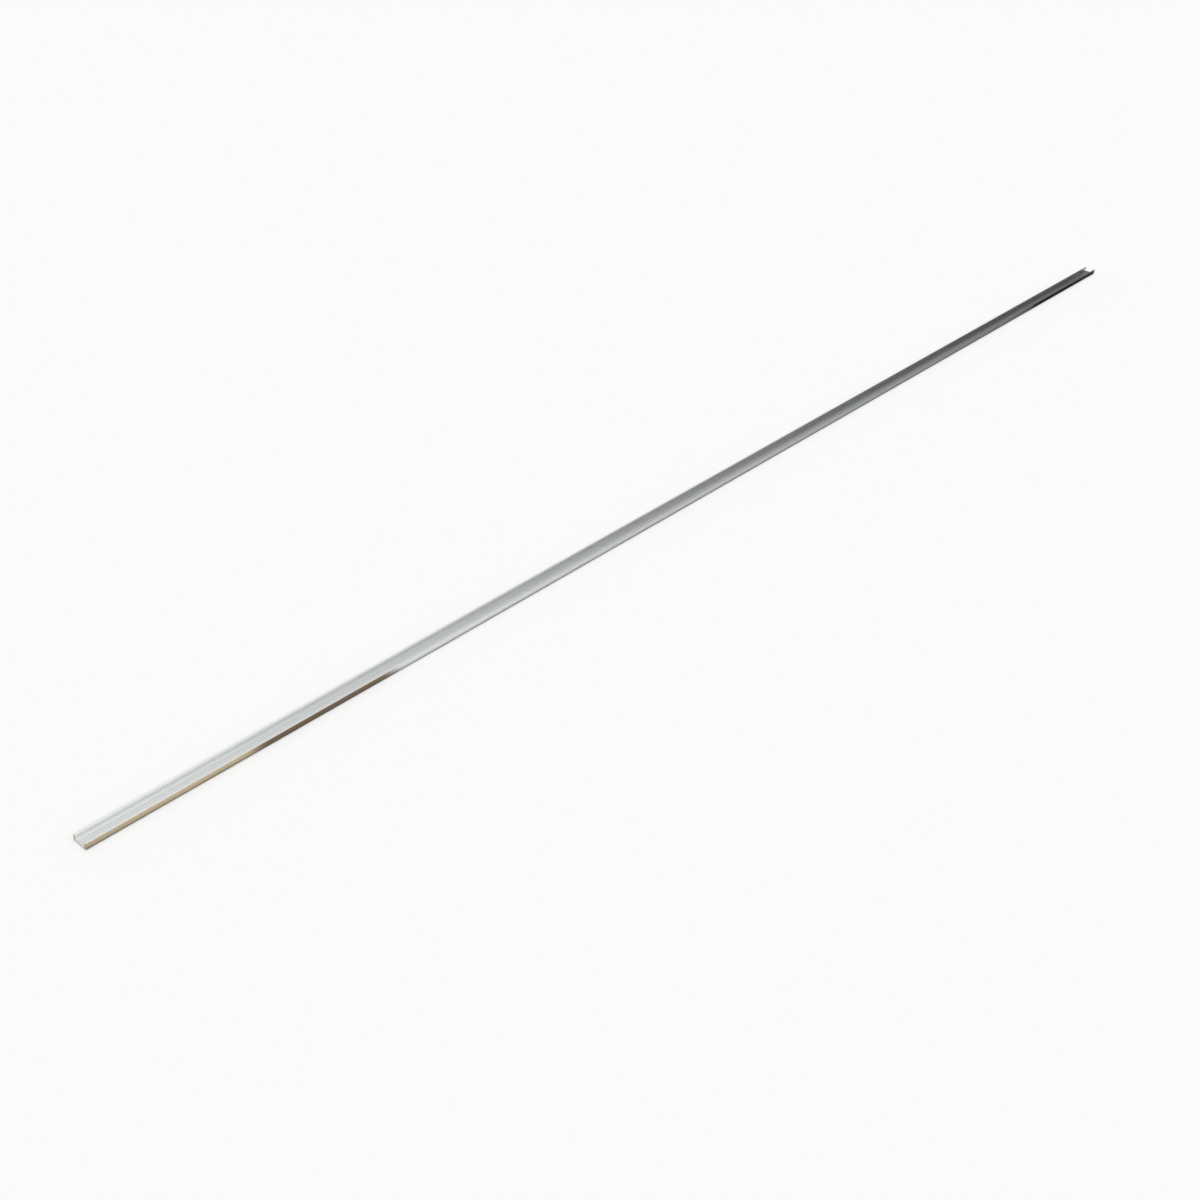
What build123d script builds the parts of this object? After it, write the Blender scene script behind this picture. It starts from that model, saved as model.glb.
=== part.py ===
# Aluminium channel profile: one extruded length of stock, sawn square at both ends.
# The section is an open trough with a flat floor and two low walls. Each wall ends in a snap
# lip, which a groove along the inner face undercuts.
#
# Units are millimetres. X runs along the length, Y across the section and Z up. The origin is
# at the middle of the underside, on the surface that the profile lies on.

import os

from build123d import *

# Stock
length = 2000.0
width = 17.4
height = 7.0
wall_thickness = 2.1
floor_thickness = 1.2

# Snap lip and the groove below it, the same on both inner wall faces
lip_height = 2.0
lip_lead_in = 0.45
groove_height = 1.2
groove_depth = 0.6
groove_flank_rise = 0.15

# Edges and corners that the die leaves along the length
foot_chamfer = 0.5
rim_radius = 0.3
lip_radius = 0.12
groove_radius = 0.15
root_radius = 0.8

# Levels and half widths that follow from the sizes above
half_width = width / 2
half_mouth = half_width - wall_thickness
groove_back = half_mouth + groove_depth
lip_underside = height - lip_height
groove_sill = lip_underside - groove_height


def right_corners():
    """Corners of the section's right half as (y, z, radius), from the foot over the lip to the floor."""
    return [
        (half_width - foot_chamfer, 0, 0),
        (half_width, foot_chamfer, 0),
        (half_width, height, rim_radius),
        (half_mouth + lip_lead_in, height, lip_radius),
        (half_mouth, height - lip_lead_in, lip_radius),
        (half_mouth, lip_underside, lip_radius),
        (groove_back, lip_underside, groove_radius),
        (groove_back, groove_sill + groove_flank_rise, groove_radius),
        (half_mouth, groove_sill, lip_radius),
        (half_mouth, floor_thickness, root_radius),
    ]


def section_face():
    """The whole section: the right half's corners, then their mirror images back to the left foot."""
    right = right_corners()
    left = [(-y, z, radius) for y, z, radius in reversed(right)]
    corners = right + left
    points = [(y, z) for y, z, radius in corners]
    radii = [radius for y, z, radius in corners]
    return make_face(FilletPolyline(*points, radius=radii, close=True))


def channel_profile():
    """One length of stock, drawn through the die from the middle towards both ends."""
    return extrude(Plane.YZ * section_face(), amount=length / 2, both=True)


os.makedirs("parts", exist_ok=True)
export_step(channel_profile(), "parts/channel_profile.step")
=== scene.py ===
# Looks of the aluminium channel profile: satin anodised stock with sawn ends, on a pale floor.
# Lengths are metres. X runs along the length, Y across the section and Z up.

import math
from collections import namedtuple

import bmesh
import bpy
from mathutils import Matrix, Quaternion, Vector


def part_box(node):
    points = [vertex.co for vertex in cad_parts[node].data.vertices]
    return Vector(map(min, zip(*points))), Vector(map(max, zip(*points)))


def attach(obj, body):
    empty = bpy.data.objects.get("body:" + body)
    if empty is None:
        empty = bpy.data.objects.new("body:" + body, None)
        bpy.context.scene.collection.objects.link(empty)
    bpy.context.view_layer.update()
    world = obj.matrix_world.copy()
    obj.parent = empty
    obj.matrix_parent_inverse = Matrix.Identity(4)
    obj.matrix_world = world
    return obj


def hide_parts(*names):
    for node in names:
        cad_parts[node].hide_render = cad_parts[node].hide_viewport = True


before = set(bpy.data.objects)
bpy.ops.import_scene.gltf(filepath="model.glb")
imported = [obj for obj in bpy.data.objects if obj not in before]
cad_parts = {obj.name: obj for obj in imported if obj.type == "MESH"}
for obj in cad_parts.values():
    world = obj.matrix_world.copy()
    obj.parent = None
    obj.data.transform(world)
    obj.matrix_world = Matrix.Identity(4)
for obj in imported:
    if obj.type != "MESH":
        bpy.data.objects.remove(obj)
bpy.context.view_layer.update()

# Stock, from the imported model
stock_low, stock_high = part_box("channel_profile")
length = stock_high.x - stock_low.x
height = stock_high.z - stock_low.z
half_width = stock_high.y

# Section, as in the part's source
wall_thickness = 0.0021
floor_thickness = 0.0012
lip_height = 0.002
lip_lead_in = 0.00045
groove_height = 0.0012
groove_depth = 0.0006
groove_flank_rise = 0.00015
foot_chamfer = 0.0005
rim_radius = 0.0003
lip_radius = 0.00012
groove_radius = 0.00015
root_radius = 0.0008
half_mouth = half_width - wall_thickness
groove_back = half_mouth + groove_depth
lip_underside = height - lip_height
groove_sill = lip_underside - groove_height

# Finish of the mesh: rounded foot edges, broken saw edges and the steps of its arcs and length
foot_edge_radius = 0.00015
saw_edge = 0.00006
arc_step = math.radians(9)
fewest_arc_steps = 2
length_steps = 40
last_ring = length_steps + 2

# Bake map: shares of its width for the saw edges and of its height for the long faces
map_edge_share = 0.01
map_side_share = 0.88
map_cap_margin_share = 0.02

# Noise of the metal: the band that most of it lies in, and cycles a metre along X, Y and Z
noise_band = (0.3, 0.7)
noise_detail = 3
fine_noise_roughness = 0.6
bloom_noise_roughness = 0.55
die_line_cycles = (1.5, 2600, 2600)
streak_cycles = (1.1, 900, 900)
bloom_cycles = (7, 70, 70)
saw_grit_cycles = (2500, 2500, 2500)

# Anodised faces: streaks along the length, a faint bloom, edges rubbed brighter, and a painted highlight
# along the tops of the rims
streak_band = (0.35, 0.65)
bloom_band = (0.35, 0.7)
dull_streak_color = (0.84, 0.864, 0.854, 1)
bright_streak_color = (0.894, 0.916, 0.907, 1)
bloom_color = (0.876, 0.897, 0.888, 1)
# Colour of the worn edges and of the painted highlight on the rim tops
worn_and_highlight_color = (0.95, 0.945, 0.935, 1)
satin_roughness = (0.29, 0.33)
bloom_haze = (-0.008, 0.012)
die_line_anisotropy = 0.93
die_line_strength = 0.5
relief_depth = 0.00004

# Saw cuts: arcs round the axis of the blade
saw_axis = Vector((0, -0.02, -0.15))
saw_arc_scale = 700
saw_arc_distortion = 1.5
saw_arc_detail = 3
saw_dull_color = (0.70, 0.70, 0.68, 1)
saw_bright_color = (0.78, 0.78, 0.76, 1)
saw_roughness = (0.22, 0.32)
saw_mark_strength = 0.25

# Camera: its focal length in the photograph's pixels, and its place from the near foot of the near wall
photo_width_px = 1200
focal_length_px = 1461.4
sensor_width_mm = 36.0
camera_offset = Vector((-0.4496, -0.8504, 0.8725))
camera_yaw = math.radians(37.208)
camera_pitch = math.radians(33.623)
camera_roll = math.radians(5)
camera_clip_end = 200.0

# Light and floor: an even sky, which looks as pale as the floor, and a soft key lamp from above
white = (1, 1, 1, 1)
sky_strength = 0.6
sky_seen_strength = 0.965
key_strength = 1.38
key_angle = math.radians(90)
key_from = Vector((-0.1, -0.3, 0.95))
floor_half_size = 40.0
floor_color = (0.95, 0.95, 0.945, 1)
matt = {"Roughness": 1, "Specular IOR Level": 0}

# Dome that the metal mirrors. In front of the profile and behind it, it brightens to a tone over its own
# angles from +X, and past the plain angles it falls to a share of that. It starts from the low share at
# the floor and is whole at the full rise. Places in Y and Z are shares of the radius.
dome_radius = 30.0
dome_subdivisions = 3
dome_front_angles = (math.radians(34), math.radians(70))
dome_back_angles = (math.radians(0), math.radians(57))
dome_front_tone = 1.27
dome_back_tone = 0.8
dome_front_to_back = (-0.1, 0.35)
dome_plain_angles = (math.radians(75), math.radians(90))
dome_plain_share = 0.68
dome_low_share = 0.2
dome_full_rise = 0.55

# Runner on the floor along the near wall and round the near end, which mirror it, with a painted shadow
# along the foot of the wall
runner_lift = 0.0001
runner_reach = 0.5
runner_end_reach = 0.05
runner_near_overhang = 0.3
runner_far_overhang = 0.07
# Painted shadow along the foot of the near wall: its reach from the wall, its darkest tone and its fade past
# the end of the profile
foot_shadow_reach = (0.0012, 0.0032)
foot_shadow_tone = 0.05
foot_shadow_fade = 0.0001

# Tones of the runner, at distances from the near end: a painted reflection, lighter and darker along the
# length, with a painted shadow just before the near end
outer_tan = (0.60, 0.47, 0.28, 1)
# Painted shadow just before the near end
painted_end_shadow_brown = (0.32, 0.19, 0.07, 1)
first_tan = (0.60, 0.455, 0.265, 1)
full_tan = (0.68, 0.525, 0.315, 1)
brown = (0.17, 0.09, 0.025, 1)
pale = (0.94, 0.95, 0.945, 1)
grey = (0.23, 0.245, 0.245, 1)
deep_grey = (0.15, 0.155, 0.15, 1)
near_black = (0.012, 0.010, 0.005, 1)
tip_grey = (0.12, 0.12, 0.115, 1)
painted_reflection_tones = (
    (-0.004, outer_tan),
    (-0.002, painted_end_shadow_brown),
    (0.000, painted_end_shadow_brown),
    (0.001, first_tan),
    (0.100, full_tan),
    (0.175, full_tan),
    (0.187, brown),
    (0.343, brown),
    (0.361, pale),
    (0.450, pale),
    (1.700, grey),
    (1.766, deep_grey),
    (1.779, near_black),
    (2.020, near_black),
    (2.060, tip_grey),
)

# Sockets of a mix node that serve colours
mix_share = 0
mix_first = 6
mix_second = 7
mix_result = 2

OutlinePoint = namedtuple("OutlinePoint", "place normal wear")
Face = namedtuple("Face", "points normals map_places sawn")


def section_corners():
    """Corners of the section as (y, z, radius), up the right wall, over the floor and down the left."""
    right = [
        (half_width - foot_chamfer, 0, foot_edge_radius),
        (half_width, foot_chamfer, foot_edge_radius),
        (half_width, height, rim_radius),
        (half_mouth + lip_lead_in, height, lip_radius),
        (half_mouth, height - lip_lead_in, lip_radius),
        (half_mouth, lip_underside, lip_radius),
        (groove_back, lip_underside, groove_radius),
        (groove_back, groove_sill + groove_flank_rise, groove_radius),
        (half_mouth, groove_sill, lip_radius),
        (half_mouth, floor_thickness, root_radius),
    ]
    return right + [(-y, z, radius) for y, z, radius in reversed(right)]


def outward(direction):
    """The outward normal of an edge of the section that runs in this direction."""
    return Vector((direction.y, -direction.x))


def section_outline():
    """The section's points with their outward normals and wear, each corner made an arc."""
    corners = section_corners()
    outline = []
    for index, (y, z, radius) in enumerate(corners):
        corner = Vector((y, z))
        before = Vector(corners[index - 1][:2])
        after = Vector(corners[(index + 1) % len(corners)][:2])
        way_in = (corner - before).normalized()
        way_out = (after - corner).normalized()
        turn = math.atan2(way_in.cross(way_out), way_in.dot(way_out))
        side = math.copysign(1, turn)
        start = corner - way_in * radius * math.tan(abs(turn) / 2)
        centre = start - outward(way_in) * radius * side
        steps = max(fewest_arc_steps, round(abs(turn) / arc_step))
        for step in range(steps + 1):
            normal = outward(way_in)
            normal.rotate(Matrix.Rotation(turn * step / steps, 2))
            wear_and_rim_highlight = side > 0 and 0 < step < steps
            outline.append(OutlinePoint(centre + normal * radius * side, normal, float(wear_and_rim_highlight)))
    return outline


def runs_around(outline):
    """How far each point of the outline lies from the first, going round and back to the first."""
    runs = [0.0]
    for index, point in enumerate(outline):
        after = outline[(index + 1) % len(outline)]
        runs.append(runs[-1] + (after.place - point.place).length)
    return runs


def ring_stations():
    """Each ring's place along X and its inset: a broken saw edge at both ends and even steps between."""
    inner_low = stock_low.x + saw_edge
    inner_length = length - 2 * saw_edge
    inner = [(inner_low + inner_length * step / length_steps, 0) for step in range(length_steps + 1)]
    return [(stock_low.x, saw_edge)] + inner + [(stock_high.x, saw_edge)]


def ring_points(outline):
    """The mesh's points, ring by ring, and their wear."""
    points = []
    wear = []
    for x, inset in ring_stations():
        for point in outline:
            place = point.place - point.normal * inset
            points.append((x, place.x, place.y))
            wear.append(max(point.wear, float(inset > 0)))
    return points, wear


def map_along(ring):
    """Where a ring lies along the bake map: the saw edges take a narrow strip at each side."""
    if ring == 0:
        return 0.0
    if ring == last_ring:
        return 1.0
    return map_edge_share + (1 - 2 * map_edge_share) * (ring - 1) / length_steps


def map_cap(point, lean):
    """Where a point of a saw cut lies on the bake map: above the long faces, one end beside the other."""
    x, y, z = point
    across = (y + half_width) / (2 * half_width)
    up = z / height
    margin = map_cap_margin_share
    left = margin if lean < 0 else (1 + margin) / 2
    wide = (1 - 3 * margin) / 2
    return left + wide * across, map_side_share + margin + (1 - map_side_share - 2 * margin) * up


def side_faces(outline):
    """The faces from ring to ring. The first and last rounds are the broken saw edges, which lean out."""
    count = len(outline)
    runs = runs_around(outline)
    faces = []
    for ring in range(last_ring):
        lean = {0: -1, last_ring - 1: 1}.get(ring, 0)
        for index in range(count):
            here = (index, runs[index])
            after = ((index + 1) % count, runs[index + 1])
            face = Face([], [], [], lean != 0)
            for (spot, run), row in ((here, ring), (after, ring), (after, ring + 1), (here, ring + 1)):
                flat = outline[spot].normal
                face.points.append(row * count + spot)
                face.normals.append(Vector((lean, flat.x, flat.y)).normalized())
                face.map_places.append((map_along(row), map_side_share * run / runs[-1]))
            faces.append(face)
    return faces


def end_faces(points, count):
    """The saw cuts across the first and the last ring, each of count points."""
    faces = []
    for ring, lean in ((0, -1), (last_ring, 1)):
        around = range(ring * count, (ring + 1) * count)[::lean]
        map_places = [map_cap(points[spot], lean) for spot in around]
        faces.append(Face(list(around), [Vector((lean, 0, 0))] * count, map_places, True))
    return faces


def make_profile():
    """The whole length as one mesh: rings of the outline along X, with a saw cut at each end."""
    outline = section_outline()
    points, wear = ring_points(outline)
    faces = side_faces(outline) + end_faces(points, len(outline))
    mesh = bpy.data.meshes.new("channel_profile_finish")
    mesh.from_pydata(points, [], [face.points for face in faces])
    mesh.materials.append(anodised_material())
    mesh.materials.append(sawn_material())
    mesh.polygons.foreach_set("use_smooth", [True] * len(faces))
    mesh.polygons.foreach_set("material_index", [int(face.sawn) for face in faces])
    mesh.attributes.new("wear", "FLOAT", "POINT").data.foreach_set("value", wear)
    bake_map = mesh.uv_layers.new(name="OFBake")
    map_places = [place for face in faces for place in face.map_places]
    bake_map.uv.foreach_set("vector", [share for place in map_places for share in place])
    mesh.normals_split_custom_set([tuple(normal) for face in faces for normal in face.normals])
    mesh.validate()
    return add_object("channel_profile_finish", mesh)


def add_object(name, data):
    """A new object in the scene, with this mesh, lamp or camera."""
    added = bpy.data.objects.new(name, data)
    bpy.context.collection.objects.link(added)
    return added


class Tree:
    """The node tree of a material or a world, with short ways to add to it."""

    def __init__(self, owner):
        owner.use_nodes = True
        self.nodes = owner.node_tree.nodes
        self.links = owner.node_tree.links

    def fill(self, node, inputs):
        """Gives each of a node's inputs its value: a socket of another node, or a constant."""
        for name, value in inputs.items():
            if isinstance(value, bpy.types.NodeSocket):
                self.links.new(value, node.inputs[name])
            else:
                node.inputs[name].default_value = value
        return node

    def add(self, kind, inputs):
        """A new node of this kind, with these inputs."""
        return self.fill(self.nodes.new(kind), inputs)

    def own_place(self):
        """A point's place in the object's own frame."""
        return self.nodes.new("ShaderNodeTexCoord").outputs["Object"]

    def axes(self, vector):
        """The sockets X, Y and Z of a vector."""
        return self.add("ShaderNodeSeparateXYZ", {"Vector": vector}).outputs

    def arithmetic(self, operation, first, second=0):
        """One operation on sockets or numbers. Some operations use the first alone."""
        node = self.add("ShaderNodeMath", {0: first, 1: second})
        node.operation = operation
        return node.outputs["Value"]

    def spread(self, value, low, high, low_to, high_to):
        """value, from low to high, mapped to low_to and high_to and held there beyond."""
        ends = {"From Min": low, "From Max": high, "To Min": low_to, "To Max": high_to}
        return self.add("ShaderNodeMapRange", {"Value": value, **ends}).outputs["Result"]

    def blend(self, share, first, second, way="MIX"):
        """Two colours, blended in this way by a share."""
        node = self.nodes.new("ShaderNodeMix")
        node.data_type = "RGBA"
        node.blend_type = way
        self.fill(node, {mix_share: share, mix_first: first, mix_second: second})
        return node.outputs[mix_result]

    def stretched_noise(self, cycles, roughness):
        """Noise in the object's own frame, with its own cycles a metre along each axis."""
        place = self.add("ShaderNodeMapping", {"Vector": self.own_place(), "Scale": cycles})
        grain = {"Scale": 1, "Detail": noise_detail, "Roughness": roughness}
        return self.add("ShaderNodeTexNoise", {"Vector": place.outputs["Vector"], **grain}).outputs["Fac"]

    def relief(self, height_map, strength):
        """The normal of a surface with this fine relief."""
        depth = {"Strength": strength, "Distance": relief_depth}
        return self.add("ShaderNodeBump", {"Height": height_map, **depth}).outputs["Normal"]


def anodised_material():
    """Satin silver anodising over die lines that run along the length."""
    material = bpy.data.materials.new("satin_anodised_aluminium")
    tree = Tree(material)
    die_lines = tree.stretched_noise(die_line_cycles, fine_noise_roughness)
    streaks = tree.stretched_noise(streak_cycles, fine_noise_roughness)
    bloom = tree.stretched_noise(bloom_cycles, bloom_noise_roughness)
    wear = tree.nodes.new("ShaderNodeAttribute")
    wear.attribute_name = "wear"
    # Painted highlight: the top of the rims, within the rim radius of the top, is blended lighter, together
    # with the worn edges
    painted_rim_highlight = tree.spread(tree.axes(tree.own_place())["Z"], stock_high.z - rim_radius, stock_high.z, 0, 1)
    wear_and_rim_highlight = tree.arithmetic("MAXIMUM", wear.outputs["Fac"], painted_rim_highlight)

    color = tree.blend(tree.spread(streaks, *streak_band, 0, 1), dull_streak_color, bright_streak_color)
    color = tree.blend(tree.spread(bloom, *bloom_band, 0, 1), color, bloom_color)
    # Worn edges and the painted rim highlight blend towards the lighter colour
    color = tree.blend(wear_and_rim_highlight, color, worn_and_highlight_color)
    satin = tree.spread(streaks, *noise_band, *satin_roughness)
    haze = tree.spread(bloom, *bloom_band, *bloom_haze)
    around = tree.nodes.new("ShaderNodeTangent")
    around.direction_type = "RADIAL"
    around.axis = "X"
    tree.fill(tree.nodes["Principled BSDF"], {
        "Base Color": color,
        "Metallic": 1,
        "Roughness": tree.arithmetic("ADD", satin, haze),
        "Anisotropic": die_line_anisotropy,
        "Tangent": around.outputs["Tangent"],
        "Normal": tree.relief(die_lines, die_line_strength),
    })
    return material


def sawn_material():
    """Bare metal of a saw cut, darker than the anodised faces, with the blade's arcs and a fine grit."""
    material = bpy.data.materials.new("sawn_aluminium")
    tree = Tree(material)
    place = tree.add("ShaderNodeMapping", {"Vector": tree.own_place(), "Location": -saw_axis})
    rings = tree.add("ShaderNodeTexWave", {
        "Vector": place.outputs["Vector"],
        "Scale": saw_arc_scale,
        "Distortion": saw_arc_distortion,
        "Detail": saw_arc_detail,
    })
    rings.wave_type = "RINGS"
    rings.rings_direction = "X"
    arcs = rings.outputs["Fac"]
    grit = tree.stretched_noise(saw_grit_cycles, fine_noise_roughness)
    tree.fill(tree.nodes["Principled BSDF"], {
        "Base Color": tree.blend(arcs, saw_dull_color, saw_bright_color),
        "Metallic": 1,
        "Roughness": tree.spread(grit, *noise_band, *saw_roughness),
        "Normal": tree.relief(tree.arithmetic("ADD", arcs, grit), saw_mark_strength),
    })
    return material


def flat_sheet(name, corners, z):
    """A level sheet with these corners, given as (x, y)."""
    mesh = bpy.data.meshes.new(name)
    mesh.from_pydata([(x, y, z) for x, y in corners], [], [tuple(range(len(corners)))])
    return add_object(name, mesh)


def make_floor():
    """The pale matt floor."""
    size = floor_half_size
    corners = [(-size, -size), (size, -size), (size, size), (-size, size)]
    floor = flat_sheet("studio_floor", corners, stock_low.z)
    material = bpy.data.materials.new("pale_floor")
    tree = Tree(material)
    tree.fill(tree.nodes["Principled BSDF"], {"Base Color": floor_color, **matt})
    floor.data.materials.append(material)


def reflected_only(card):
    """Stage that shows in the metal's reflections alone, and casts no shadow."""
    card.visible_camera = False
    card.visible_diffuse = False
    card.visible_shadow = False


def dome_material():
    """The dome's glow: dark towards the far end and low down, bright on the way up, plainer past overhead.

    In front of the profile it rises later and more steeply than behind it.
    """
    material = bpy.data.materials.new("graded_dome")
    tree = Tree(material)
    tree.nodes.clear()
    way = tree.add("ShaderNodeVectorMath", {0: tree.own_place()})
    way.operation = "NORMALIZE"
    axes = tree.axes(way.outputs["Vector"])
    angle = tree.arithmetic("ARCCOSINE", axes["X"])
    front = tree.spread(angle, *dome_front_angles, 0, dome_front_tone)
    back = tree.spread(angle, *dome_back_angles, 0, dome_back_tone)
    tone = tree.spread(axes["Y"], *dome_front_to_back, front, back)
    plain = tree.spread(angle, *dome_plain_angles, 1, dome_plain_share)
    rise = tree.spread(axes["Z"], 0, dome_full_rise, dome_low_share, 1)
    strength = tree.arithmetic("MULTIPLY", tree.arithmetic("MULTIPLY", tone, plain), rise)
    glow = tree.add("ShaderNodeEmission", {"Color": white, "Strength": strength})
    tree.add("ShaderNodeOutputMaterial", {"Surface": glow.outputs["Emission"]})
    return material


def make_dome():
    """The dome over the studio, which the metal mirrors."""
    shape = bmesh.new()
    bmesh.ops.create_icosphere(shape, subdivisions=dome_subdivisions, radius=dome_radius)
    mesh = bpy.data.meshes.new("studio_dome")
    shape.to_mesh(mesh)
    shape.free()
    mesh.materials.append(dome_material())
    reflected_only(add_object("studio_dome", mesh))


def runner_material(x_low, x_high):
    """The runner's painted reflection tones, which follow each other along the profile, and a painted shadow
    along the foot of the near wall.
    """
    material = bpy.data.materials.new("toned_runner")
    tree = Tree(material)
    axes = tree.axes(tree.own_place())
    # Painted reflection: tones along X that the metal mirrors
    ramp = tree.add("ShaderNodeValToRGB", {"Fac": tree.spread(axes["X"], x_low, x_high, 0, 1)})
    stops = [((stock_low.x + distance - x_low) / (x_high - x_low), tone) for distance, tone in painted_reflection_tones]
    elements = ramp.color_ramp.elements
    elements[0].position, elements[0].color = stops[0]
    elements[1].position, elements[1].color = stops[-1]
    for position, tone in stops[1:-1]:
        elements.new(position).color = tone

    # Painted shadow: the runner darkens towards the foot of the near wall, and the darkening fades out past
    # the end of the profile
    gap = tree.arithmetic("ABSOLUTE", tree.arithmetic("SUBTRACT", axes["Y"], stock_low.y))
    from_middle = tree.arithmetic("ABSOLUTE", axes["X"])
    end_fade = (stock_high.x, stock_high.x + foot_shadow_fade)
    past_end = tree.spread(from_middle, *end_fade, 0, max(foot_shadow_reach))
    gap = tree.arithmetic("ADD", gap, past_end)
    painted_foot_shadow = tree.spread(gap, *foot_shadow_reach, foot_shadow_tone, 1)
    color = tree.blend(1, ramp.outputs["Color"], painted_foot_shadow, "MULTIPLY")
    tree.fill(tree.nodes["Principled BSDF"], {"Base Color": color, **matt})
    return material


def make_runner():
    """The floor runner, which lies in front of the near wall and before the near end."""
    x_low = stock_low.x - runner_near_overhang
    x_high = stock_high.x + runner_far_overhang
    y_low = stock_low.y - runner_reach
    y_high = stock_high.y + runner_end_reach
    corners = [(x_low, y_low), (x_high, y_low), (x_high, stock_low.y),
               (stock_low.x, stock_low.y), (stock_low.x, y_high), (x_low, y_high)]
    runner = flat_sheet("floor_runner", corners, stock_low.z + runner_lift)
    runner.data.materials.append(runner_material(x_low, x_high))
    reflected_only(runner)


def make_light():
    """An even white sky and a soft key lamp high above, a little in front, that the metal doesn't mirror."""
    world = bpy.data.worlds.new("soft_studio")
    tree = Tree(world)
    rays = tree.nodes.new("ShaderNodeLightPath").outputs
    mirrored = tree.arithmetic("MAXIMUM", rays["Is Glossy Ray"], rays["Is Transmission Ray"])
    seen = tree.arithmetic("MAXIMUM", rays["Is Camera Ray"], mirrored)
    strength = tree.spread(seen, 0, 1, sky_strength, sky_seen_strength)
    tree.fill(tree.nodes["Background"], {"Color": white, "Strength": strength})
    bpy.context.scene.world = world
    lamp = bpy.data.lights.new("key_lamp", "SUN")
    lamp.energy = key_strength
    lamp.angle = key_angle
    key = add_object("key_lamp", lamp)
    key.visible_glossy = False
    key.rotation_mode = "QUATERNION"
    key.rotation_quaternion = key_from.to_track_quat("Z", "Y")


def make_camera():
    """The photograph's view: a pinhole camera high beside the near end, looking down the length."""
    data = bpy.data.cameras.new("photo_camera")
    data.sensor_width = sensor_width_mm
    data.lens = focal_length_px / photo_width_px * sensor_width_mm
    data.clip_end = camera_clip_end
    camera = add_object("photo_camera", data)
    camera.location = Vector(stock_low) + camera_offset
    level = math.cos(camera_pitch)
    ahead = Vector((math.cos(camera_yaw) * level, math.sin(camera_yaw) * level, -math.sin(camera_pitch)))
    camera.rotation_mode = "QUATERNION"
    camera.rotation_quaternion = ahead.to_track_quat("-Z", "Y") @ Quaternion((0, 0, 1), camera_roll)
    bpy.context.scene.camera = camera


profile = make_profile()
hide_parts("channel_profile")
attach(profile, "root")
make_floor()
make_dome()
make_runner()
make_light()
make_camera()
bpy.context.scene.view_settings.view_transform = "Standard"
